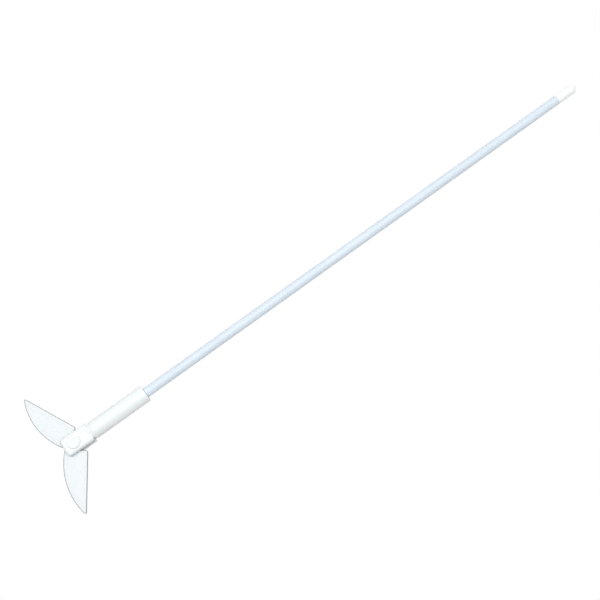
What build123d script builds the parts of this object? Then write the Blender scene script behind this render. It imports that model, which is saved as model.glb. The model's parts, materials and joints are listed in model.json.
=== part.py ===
from build123d import *
from math import atan2, cos, degrees, radians, sin, sqrt
import os

os.makedirs("parts", exist_ok=True)

# Stirrer with two swinging blades for a drill. All sizes are in millimetres.
# The shaft lies along X with its drill end at the origin and its blades at +X.
# The pivot pin stands along Z, so both blades swing in the level XY plane.

# Shaft: a steel core in a plastic tube, with a rounded cap on the drill end.
tube_diameter = 8.0
tube_bore = 6.1
tube_seat_diameter = 7.2
tube_shoulder_gap = 0.3
tube_end_gap = 0.3
core_diameter = 6.0
cap_diameter = 8.0
cap_length = 21.1
cap_hole_depth = 15.0
cap_end_radius = 3.6
cap_joint_gap = 0.05
core_screw_diameter = 5.0
core_screw_length = 11.0
core_end_gap = 0.5
core_chamfer = 0.5
slide_gap = 0.05

# Hub: a round socket for the shaft that ends in a slotted fork.
pivot_x = 480.0
socket_diameter = 13.8
socket_bore = 7.3
socket_length = 63.0
socket_hole_depth = 34.0
socket_edge = 0.2
fork_width = 14.6
fork_thickness = 11.5
fork_above_pivot = 13.3
fork_below_pivot = 9.0
fork_corner_radius = 2.6
fork_lower_edge_radius = 0.5
fork_upper_edge_radius = 2.2
shoulder_length = 5.0
shoulder_above_pivot = 16.3
slot_above_pivot = 14.7
slot_width = 5.3

# Seal ring in a groove just inside the socket mouth.
seal_setback = 3.0
seal_groove_width = 1.6
seal_groove_diameter = 9.6
seal_ring_diameter = 8.34
seal_cord_diameter = 1.04

# Pivot: a round-headed pin through the fork, held by a round nut.
pin_diameter = 5.0
pin_hole_diameter = 5.12
pin_head_diameter = 10.2
pin_head_height = 1.3
pin_head_radius = 0.6
pin_end_chamfer = 0.3
pin_end_gap = 0.2
nut_height = 2.6
nut_wall = 0.8
washer_diameter = 9.4
washer_thickness = 0.4

# Blade: a straight edge on the shaft side and one long curved edge.
blade_thickness = 1.8
blade_gap = 0.1
straight_edge_offset = 9.85
inner_edge_reach = 5.9
curve_radius = 52.4
curve_centre_x = 13.6
curve_centre_y = -44.2
inner_corner_radius = 2.0
tip_radius = 1.0
neck_radius = 0.8
blade_bevel = 0.4
front_blade_opening = 56.0
rear_blade_opening = 65.0

socket_mouth_x = pivot_x - socket_length
tube_shoulder_x = socket_mouth_x - tube_shoulder_gap
tube_end_x = socket_mouth_x + socket_hole_depth
fork_start_x = pivot_x - fork_above_pivot
shoulder_x = pivot_x - shoulder_above_pivot
shoulder_depth = (socket_diameter - fork_thickness) / 2
shoulder_slope = degrees(atan2(shoulder_depth, shoulder_length))
fork_middle = (fork_below_pivot - fork_above_pivot) / 2


def across_shaft(x):
    """A plane across the shaft at x, looking towards the blades."""
    return Plane(origin=(x, 0, 0), x_dir=(0, 1, 0), z_dir=(1, 0, 0))


def level_at_pivot(height):
    """A level plane with its origin on the pivot axis."""
    return Plane(origin=(pivot_x, 0, height), x_dir=(1, 0, 0), z_dir=(0, 0, 1))


# Steel core: it carries the load from the cap to the screw in the hub.
with BuildPart() as core_rod:
    with BuildSketch(across_shaft(-cap_hole_depth + core_end_gap)):
        Circle(core_diameter / 2)
    extrude(amount=tube_end_x + cap_hole_depth - 2 * core_end_gap)
    chamfer(core_rod.edges().group_by(Axis.X)[0], core_chamfer)
    with BuildSketch(across_shaft(tube_end_x - core_end_gap)):
        Circle(core_screw_diameter / 2)
    extrude(amount=core_screw_length)
    chamfer(core_rod.edges().group_by(Axis.X)[-1], core_chamfer)
core_rod.part.label = "core_rod"
export_step(core_rod.part, "parts/core_rod.step")

# Plastic tube over the core, turned down where it enters the hub socket.
with BuildPart() as shaft_tube:
    with BuildSketch(across_shaft(0)):
        Circle(tube_diameter / 2)
    extrude(amount=tube_shoulder_x)
    with BuildSketch(across_shaft(tube_shoulder_x)):
        Circle(tube_seat_diameter / 2)
    extrude(amount=tube_end_x - tube_shoulder_x - tube_end_gap)
    with BuildSketch(across_shaft(0)):
        Circle(tube_bore / 2)
    extrude(amount=tube_end_x, mode=Mode.SUBTRACT)
shaft_tube.part.label = "shaft_tube"
export_step(shaft_tube.part, "parts/shaft_tube.step")

# Rounded cap that closes the drill end over the core.
with BuildPart() as end_cap:
    with BuildSketch(across_shaft(-cap_length)):
        Circle(cap_diameter / 2)
    extrude(amount=cap_length - cap_joint_gap)
    fillet(end_cap.edges().group_by(Axis.X)[0], cap_end_radius)
    with BuildSketch(across_shaft(-cap_hole_depth)):
        Circle(tube_bore / 2)
    extrude(amount=cap_hole_depth, mode=Mode.SUBTRACT)
end_cap.part.label = "end_cap"
export_step(end_cap.part, "parts/end_cap.step")

# Hub: socket, sloped shoulder, fork, slot and pin hole in one machined piece.
with BuildPart() as hub_fork:
    with BuildSketch(across_shaft(socket_mouth_x)):
        Circle(socket_diameter / 2)
    extrude(amount=shoulder_x - socket_mouth_x)
    chamfer(hub_fork.edges().group_by(Axis.X)[0], socket_edge)
    with BuildSketch(across_shaft(shoulder_x)):
        Circle(socket_diameter / 2)
    extrude(amount=shoulder_length, taper=shoulder_slope)
    with BuildSketch(level_at_pivot(-fork_thickness / 2)):
        with Locations((fork_middle, 0)):
            fork_outline = Rectangle(fork_above_pivot + fork_below_pivot, fork_width)
        fillet(fork_outline.vertices().group_by(Axis.X)[-1], fork_corner_radius)
    extrude(amount=fork_thickness)
    with BuildSketch(level_at_pivot(0)):
        with Locations((-slot_above_pivot, 0)):
            Rectangle(2 * slot_above_pivot, 2 * fork_width, align=(Align.MIN, Align.CENTER))
    extrude(amount=slot_width / 2, both=True, mode=Mode.SUBTRACT)
    with BuildSketch(level_at_pivot(0)):
        Circle(pin_hole_diameter / 2)
    extrude(amount=fork_thickness, both=True, mode=Mode.SUBTRACT)
    with BuildSketch(across_shaft(socket_mouth_x)):
        Circle(socket_bore / 2)
    extrude(amount=socket_hole_depth, mode=Mode.SUBTRACT)
    with BuildSketch(across_shaft(tube_end_x)):
        Circle(core_screw_diameter / 2 + slide_gap)
    extrude(amount=core_screw_length, mode=Mode.SUBTRACT)
    with BuildSketch(across_shaft(socket_mouth_x + seal_setback)):
        Circle(seal_groove_diameter / 2)
    extrude(amount=seal_groove_width, mode=Mode.SUBTRACT)
    flats = hub_fork.faces().filter_by(Axis.Z).group_by(Axis.Z)
    for flat, radius in ((flats[0][0], fork_lower_edge_radius), (flats[-1][0], fork_upper_edge_radius)):
        rim = flat.outer_wire().edges().filter_by(lambda e: e.center().X > fork_start_x + shoulder_length)
        fillet(rim, radius)
hub_fork.part.label = "hub_fork"
export_step(hub_fork.part, "parts/hub_fork.step")

# Rubber ring that keeps the paint out of the socket.
with BuildPart() as seal_ring:
    ring_centre_x = socket_mouth_x + seal_setback + seal_groove_width / 2
    with BuildSketch(Plane(origin=(ring_centre_x, 0, 0), x_dir=(1, 0, 0), z_dir=(0, -1, 0))):
        with Locations((0, seal_ring_diameter / 2)):
            Circle(seal_cord_diameter / 2)
    revolve(axis=Axis.X)
seal_ring.part.label = "seal_ring"
export_step(seal_ring.part, "parts/seal_ring.step")

# Pivot pin with its round head on the upper side.
with BuildPart() as pivot_pin:
    with BuildSketch(level_at_pivot(fork_thickness / 2)):
        Circle(pin_head_diameter / 2)
    extrude(amount=pin_head_height)
    fillet(pivot_pin.edges().group_by(Axis.Z)[-1], pin_head_radius)
    with BuildSketch(level_at_pivot(fork_thickness / 2)):
        Circle(pin_diameter / 2)
    extrude(amount=-(fork_thickness + nut_height - nut_wall - pin_end_gap))
    chamfer(pivot_pin.edges().group_by(Axis.Z)[0], pin_end_chamfer)
pivot_pin.part.label = "pivot_pin"
export_step(pivot_pin.part, "parts/pivot_pin.step")

# Round nut on the lower side, closed at its outer end.
with BuildPart() as pivot_nut:
    with BuildSketch(level_at_pivot(-fork_thickness / 2)):
        Circle(pin_head_diameter / 2)
    extrude(amount=-nut_height)
    fillet(pivot_nut.edges().group_by(Axis.Z)[0], pin_head_radius)
    with BuildSketch(level_at_pivot(-fork_thickness / 2)):
        Circle(pin_diameter / 2 + slide_gap)
    extrude(amount=-(nut_height - nut_wall), mode=Mode.SUBTRACT)
pivot_nut.part.label = "pivot_nut"
export_step(pivot_nut.part, "parts/pivot_nut.step")


def slip_washer(base_height):
    """A thin flat washer round the pin with its lower face at base_height."""
    with BuildPart() as washer:
        with BuildSketch(level_at_pivot(base_height)):
            Circle(washer_diameter / 2)
            Circle(pin_hole_diameter / 2, mode=Mode.SUBTRACT)
        extrude(amount=washer_thickness)
    return washer


def on_inner_edge(vertex):
    """Whether a vertex of a blade's outline lies on its short inner edge."""
    return abs(vertex.X - inner_edge_reach) < 0.01


def swing_blade(opening, side, middle_height):
    """A blade opened from straight down towards +Y (side 1) or -Y (side -1)."""
    along = (cos(radians(opening)), side * sin(radians(opening)), 0)
    base_height = middle_height + side * blade_thickness / 2
    blade_plane = Plane(origin=(pivot_x, 0, base_height), x_dir=along, z_dir=(0, 0, -side))
    edge_y = -straight_edge_offset
    tip_x = curve_centre_x + sqrt(curve_radius**2 - (edge_y - curve_centre_y) ** 2)
    centre_distance = sqrt(curve_centre_x**2 + curve_centre_y**2)
    lobe_radius = curve_radius - centre_distance
    touch_x = -lobe_radius * curve_centre_x / centre_distance
    touch_y = -lobe_radius * curve_centre_y / centre_distance
    top = (curve_centre_x, curve_centre_y + curve_radius)
    with BuildPart() as blade:
        with BuildSketch(blade_plane) as outline:
            with BuildLine():
                Line((tip_x, edge_y), (inner_edge_reach, edge_y))
                Line((inner_edge_reach, edge_y), (inner_edge_reach, 0))
                Line((inner_edge_reach, 0), (0, 0))
                Line((0, 0), (touch_x, touch_y))
                ThreePointArc((touch_x, touch_y), top, (tip_x, edge_y))
            make_face()
            Circle(lobe_radius)
            inner_edge = outline.vertices().filter_by(on_inner_edge).sort_by(Axis.Y)
            fillet(inner_edge[-1], neck_radius)
            inner_edge = outline.vertices().filter_by(on_inner_edge).sort_by(Axis.Y)
            fillet(inner_edge[0], inner_corner_radius)
            tip = outline.vertices().sort_by(Axis.X)[-1]
            fillet(tip, tip_radius)
            Circle(pin_hole_diameter / 2, mode=Mode.SUBTRACT)
        extrude(amount=blade_thickness)
        for face in blade.faces().filter_by(Axis.Z):
            chamfer(face.outer_wire().edges(), blade_bevel)
    return blade


washer_step = washer_thickness + blade_thickness + 2 * blade_gap
blade_height = (washer_thickness + blade_thickness) / 2 + blade_gap

slip_washer_rear = slip_washer(-washer_step - washer_thickness / 2)
slip_washer_rear.part.label = "slip_washer_rear"
export_step(slip_washer_rear.part, "parts/slip_washer_rear.step")

slip_washer_middle = slip_washer(-washer_thickness / 2)
slip_washer_middle.part.label = "slip_washer_middle"
export_step(slip_washer_middle.part, "parts/slip_washer_middle.step")

slip_washer_front = slip_washer(washer_step - washer_thickness / 2)
slip_washer_front.part.label = "slip_washer_front"
export_step(slip_washer_front.part, "parts/slip_washer_front.step")

blade_front = swing_blade(front_blade_opening, 1, blade_height)
blade_front.part.label = "blade_front"
export_step(blade_front.part, "parts/blade_front.step")

blade_rear = swing_blade(rear_blade_opening, -1, -blade_height)
blade_rear.part.label = "blade_rear"
export_step(blade_rear.part, "parts/blade_rear.step")
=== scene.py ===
import json
from math import cos, radians, sin

import bpy
from mathutils import Matrix, Vector


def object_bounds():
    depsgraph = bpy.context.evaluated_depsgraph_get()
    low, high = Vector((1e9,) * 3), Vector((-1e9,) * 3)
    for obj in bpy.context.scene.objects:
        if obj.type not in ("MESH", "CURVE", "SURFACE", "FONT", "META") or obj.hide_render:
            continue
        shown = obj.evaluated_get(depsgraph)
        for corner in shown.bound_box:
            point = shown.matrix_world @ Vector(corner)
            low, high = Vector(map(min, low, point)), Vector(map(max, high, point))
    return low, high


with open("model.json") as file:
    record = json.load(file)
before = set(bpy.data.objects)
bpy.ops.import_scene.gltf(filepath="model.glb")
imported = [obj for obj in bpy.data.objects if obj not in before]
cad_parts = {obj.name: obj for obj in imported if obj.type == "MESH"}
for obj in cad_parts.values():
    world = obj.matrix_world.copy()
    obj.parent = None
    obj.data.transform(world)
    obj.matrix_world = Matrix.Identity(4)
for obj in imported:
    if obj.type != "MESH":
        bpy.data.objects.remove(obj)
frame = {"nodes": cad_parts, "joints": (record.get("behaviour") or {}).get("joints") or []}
cad_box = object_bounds()
nodes = frame["nodes"]


# ---------------------------------------------------------------- shader helpers
def blank_material(name):
    """A material with one Principled shader, and its node tree."""
    mat = bpy.data.materials.new(name)
    mat.use_nodes = True
    tree = mat.node_tree
    shader = tree.nodes["Principled BSDF"]
    return mat, tree, shader


def add(tree, kind, **settings):
    """A node with its properties set by name."""
    node = tree.nodes.new(kind)
    for key, value in settings.items():
        setattr(node, key, value)
    return node


def coords(tree, scale=(1.0, 1.0, 1.0), shift=(0.0, 0.0, 0.0)):
    """Object coordinates in metres, scaled for a texture."""
    source = add(tree, "ShaderNodeTexCoord")
    mapping = add(tree, "ShaderNodeMapping")
    mapping.inputs["Scale"].default_value = scale
    mapping.inputs["Location"].default_value = shift
    tree.links.new(source.outputs["Object"], mapping.inputs["Vector"])
    return mapping.outputs["Vector"]


def noise(tree, vector, scale, detail, rough):
    """Noise between 0 and 1, with about scale bumps to each unit of the vector."""
    node = add(tree, "ShaderNodeTexNoise")
    node.inputs["Scale"].default_value = scale
    node.inputs["Detail"].default_value = detail
    node.inputs["Roughness"].default_value = rough
    tree.links.new(vector, node.inputs["Vector"])
    return node.outputs["Fac"]


def remap(tree, value, low, high, to_low, to_high):
    """The range low to high carried over to to_low to to_high, and held at its ends."""
    node = add(tree, "ShaderNodeMapRange", clamp=True)
    node.inputs["From Min"].default_value = low
    node.inputs["From Max"].default_value = high
    node.inputs["To Min"].default_value = to_low
    node.inputs["To Max"].default_value = to_high
    tree.links.new(value, node.inputs["Value"])
    return node.outputs["Result"]


def math_node(tree, operation, *values):
    """One step of arithmetic on sockets."""
    node = add(tree, "ShaderNodeMath", operation=operation)
    for socket, value in zip(node.inputs, values):
        tree.links.new(value, socket)
    return node.outputs[0]


def mix_colour(tree, factor, first, second):
    """A blend from the first colour or socket to the second."""
    node = add(tree, "ShaderNodeMix", data_type="RGBA")
    tree.links.new(factor, node.inputs[0])
    for socket, value in ((node.inputs[6], first), (node.inputs[7], second)):
        if isinstance(value, tuple):
            socket.default_value = (*value, 1.0)
        else:
            tree.links.new(value, socket)
    return node.outputs[2]


def bump(tree, shader, height, distance, strength):
    """Relief on a shader, up to distance metres high."""
    node = add(tree, "ShaderNodeBump")
    node.inputs["Distance"].default_value = distance
    node.inputs["Strength"].default_value = strength
    tree.links.new(height, node.inputs["Height"])
    tree.links.new(node.outputs["Normal"], shader.inputs["Normal"])


# ---------------------------------------------------------------- materials
plastic_ior = 1.36
sheet_ior = 1.42
fine_relief = 0.00001


def tube_material():
    """Pale blue drawn plastic tube: satin, with fine lines along its length."""
    mat, tree, shader = blank_material("tube_plastic")
    mottle = noise(tree, coords(tree, (0.35, 1.0, 1.0)), 160.0, 4.0, 0.55)
    lines = noise(tree, coords(tree, (0.02, 1.0, 1.0)), 2600.0, 3.0, 0.6)
    shade = remap(tree, mottle, 0.3, 0.7, 0.0, 1.0)
    base = mix_colour(tree, shade, (0.628, 0.706, 0.778), (0.668, 0.745, 0.817))
    drawn = mix_colour(tree, remap(tree, lines, 0.35, 0.7, 0.0, 0.2), base, (0.73, 0.81, 0.88))
    tree.links.new(drawn, shader.inputs["Base Color"])
    tree.links.new(remap(tree, mottle, 0.3, 0.7, 0.30, 0.42), shader.inputs["Roughness"])
    shader.inputs["IOR"].default_value = plastic_ior
    bump(tree, shader, lines, fine_relief, 0.15)
    return mat


def machined_white(name, marks_scale, tint=(0.81, 0.84, 0.837)):
    """Waxy white machined plastic with fine tool marks and faint handling marks."""
    mat, tree, shader = blank_material(name)
    cloud = noise(tree, coords(tree), 70.0, 4.0, 0.6)
    smudge = noise(tree, coords(tree, (1.0, 1.4, 1.0), (0.3, 0.1, 0.2)), 260.0, 5.0, 0.65)
    soft = tuple(0.965 * c for c in tint)
    base = mix_colour(tree, remap(tree, cloud, 0.35, 0.7, 0.0, 1.0), tint, soft)
    worn = tuple(0.90 * c for c in tint)
    base = mix_colour(tree, remap(tree, smudge, 0.58, 0.75, 0.0, 0.35), base, worn)
    tree.links.new(base, shader.inputs["Base Color"])
    tree.links.new(remap(tree, smudge, 0.3, 0.75, 0.36, 0.52), shader.inputs["Roughness"])
    shader.inputs["IOR"].default_value = plastic_ior
    marks = noise(tree, coords(tree, marks_scale), 1.0, 2.0, 0.5)
    bump(tree, shader, marks, fine_relief, 0.4)
    return mat


def blade_material():
    """Clear to milky plastic sheet. Its cut edges carry painted shade: near black, standing in
    for the dark rims that light bending through clear edges gives.
    """
    mat, tree, shader = blank_material("blade_plastic")
    geometry = add(tree, "ShaderNodeNewGeometry")
    parts = add(tree, "ShaderNodeSeparateXYZ")
    tree.links.new(geometry.outputs["True Normal"], parts.inputs[0])
    level = math_node(tree, "ABSOLUTE", parts.outputs["Z"])
    # Mask of the cut edges, where the normal turns away from upright; it carries the painted edge
    # shade.
    painted_edge_shade = remap(tree, level, 0.65, 0.97, 1.0, 0.0)
    haze = noise(tree, coords(tree), 90.0, 4.0, 0.6)
    grain = noise(tree, coords(tree, (1.0, 0.08, 1.0)), 2400.0, 2.0, 0.6)
    shade = remap(tree, haze, 0.3, 0.7, 0.0, 1.0)
    face = mix_colour(tree, shade, (0.775, 0.825, 0.85), (0.80, 0.845, 0.865))
    # Painted shade: the cut edges are coloured near black and made nearly opaque, in place of the
    # dark rims from light bending in the clear sheet.
    colour = mix_colour(tree, painted_edge_shade, face, (0.12, 0.13, 0.14))
    tree.links.new(colour, shader.inputs["Base Color"])
    tree.links.new(remap(tree, haze, 0.3, 0.7, 0.16, 0.30), shader.inputs["Roughness"])
    opacity = remap(tree, haze, 0.3, 0.7, 0.56, 0.64)
    painted_edge_shade_opacity = remap(tree, painted_edge_shade, 0.0, 1.0, 0.0, 0.92)
    tree.links.new(math_node(tree, "MAXIMUM", opacity, painted_edge_shade_opacity), shader.inputs["Alpha"])
    shader.inputs["IOR"].default_value = sheet_ior
    bump(tree, shader, grain, fine_relief, 0.4)
    return mat


def steel_material():
    """Drawn steel rod with fine lines along its length."""
    mat, tree, shader = blank_material("core_steel")
    lines = noise(tree, coords(tree, (0.03, 1.0, 1.0)), 1800.0, 3.0, 0.6)
    base = mix_colour(tree, lines, (0.52, 0.53, 0.54), (0.68, 0.69, 0.70))
    tree.links.new(base, shader.inputs["Base Color"])
    tree.links.new(remap(tree, lines, 0.3, 0.7, 0.25, 0.40), shader.inputs["Roughness"])
    shader.inputs["Metallic"].default_value = 1.0
    bump(tree, shader, lines, fine_relief, 0.5)
    return mat


def rubber_material():
    """Black rubber with a fine matt grain."""
    mat, tree, shader = blank_material("seal_rubber")
    grain = noise(tree, coords(tree), 1500.0, 4.0, 0.6)
    base = mix_colour(tree, grain, (0.02, 0.02, 0.02), (0.06, 0.06, 0.06))
    tree.links.new(base, shader.inputs["Base Color"])
    tree.links.new(remap(tree, grain, 0.3, 0.7, 0.55, 0.75), shader.inputs["Roughness"])
    bump(tree, shader, grain, 0.00002, 0.5)
    return mat


def dress(material, *names):
    """Puts a material on CAD nodes through their own slots."""
    for name in names:
        nodes[name].material_slots[0].material = material


dress(machined_white("white_turned", (2400.0, 60.0, 60.0)), "hub_fork")
cap_white = machined_white("white_cap", (2400.0, 60.0, 60.0), (0.90, 0.912, 0.908))
cap_shader = cap_white.node_tree.nodes["Principled BSDF"]
cap_shader.inputs["Sheen Weight"].default_value = 0.7
cap_shader.inputs["Sheen Roughness"].default_value = 0.5
dress(cap_white, "end_cap")
dress(machined_white("white_pivot", (120.0, 120.0, 3000.0)), "pivot_pin", "pivot_nut")
dress(machined_white("washer_plastic", (300.0, 300.0, 300.0), (0.86, 0.86, 0.85)),
      "slip_washer_front", "slip_washer_middle", "slip_washer_rear")
dress(tube_material(), "shaft_tube")
dress(steel_material(), "core_rod")
dress(rubber_material(), "seal_ring")
dress(blade_material(), "blade_front", "blade_rear")


# ---------------------------------------------------------------- floor
def floor_material():
    """White paper. It looks evenly white, and lights the object as matt paper does."""
    mat, tree, shader = blank_material("floor_white")
    shader.inputs["Base Color"].default_value = (0.78, 0.78, 0.78, 1.0)
    shader.inputs["Roughness"].default_value = 0.9
    shader.inputs["Specular IOR Level"].default_value = 0.1
    seen = add(tree, "ShaderNodeLightPath")
    white = add(tree, "ShaderNodeEmission")
    mixed = add(tree, "ShaderNodeMixShader")
    tree.links.new(seen.outputs["Is Camera Ray"], mixed.inputs[0])
    tree.links.new(shader.outputs[0], mixed.inputs[1])
    tree.links.new(white.outputs[0], mixed.inputs[2])
    tree.links.new(mixed.outputs[0], tree.nodes["Material Output"].inputs["Surface"])
    return mat


low, high = cad_box
middle = (Vector(low) + Vector(high)) / 2
floor_reach = 4.0
floor_gap = 0.0002
corners = [(x * floor_reach, y * floor_reach, 0) for x, y in ((-1, -1), (1, -1), (1, 1), (-1, 1))]
floor_mesh = bpy.data.meshes.new("floor")
floor_mesh.from_pydata(corners, [], [(0, 1, 2, 3)])
floor = bpy.data.objects.new("floor", floor_mesh)
floor.location = (middle.x, middle.y, low[2] - floor_gap)
bpy.context.scene.collection.objects.link(floor)
floor_mesh.materials.append(floor_material())


# ---------------------------------------------------------------- light
def softbox(name, place, aim, size, energy):
    """A white area light at place, turned towards aim. Sizes are in metres."""
    data = bpy.data.lights.new(name, "AREA")
    data.shape = "RECTANGLE"
    data.size, data.size_y = size
    data.energy = energy
    lamp = bpy.data.objects.new(name, data)
    lamp.location = place
    lamp.rotation_euler = (Vector(aim) - Vector(place)).to_track_quat("-Z", "Y").to_euler()
    bpy.context.scene.collection.objects.link(lamp)


softbox("key", (middle.x, middle.y - 0.8, 1.3), middle, (1.6, 1.0), 3.0)
softbox("top", (middle.x, middle.y, 1.7), middle, (1.8, 1.8), 30.5)
world = bpy.data.worlds.new("studio")
world.use_nodes = True
background = world.node_tree.nodes["Background"]
background.inputs["Color"].default_value = (0.97, 0.985, 1.0, 1.0)
background.inputs["Strength"].default_value = 0.35
bpy.context.scene.world = world


# ---------------------------------------------------------------- camera
# It stands on the +X +Y side of the point it aims at, and looks steeply down.
pivot = Vector(frame["joints"][0]["pos_m"])
elevation = radians(73.24)
heading = radians(-126.835)
distance = 0.6676
aim_before_pivot = 0.2012
aim_beside_shaft = 0.0113
aim = Vector((pivot.x - aim_before_pivot, aim_beside_shaft, 0.0))
forward = Vector((cos(heading) * cos(elevation), sin(heading) * cos(elevation), -sin(elevation)))
right = forward.cross(Vector((0, 0, 1))).normalized()
up = right.cross(forward)
camera_data = bpy.data.cameras.new("camera")
camera_data.sensor_width = 36.0
camera_data.lens = 51.0
camera_data.clip_start = 0.01
camera = bpy.data.objects.new("camera", camera_data)
turn = Matrix((right, up, -forward)).transposed().to_4x4()
camera.matrix_world = Matrix.Translation(aim - forward * distance) @ turn
bpy.context.scene.collection.objects.link(camera)
bpy.context.scene.camera = camera

bpy.context.scene.view_settings.view_transform = "Standard"
bpy.context.scene.view_settings.look = "None"
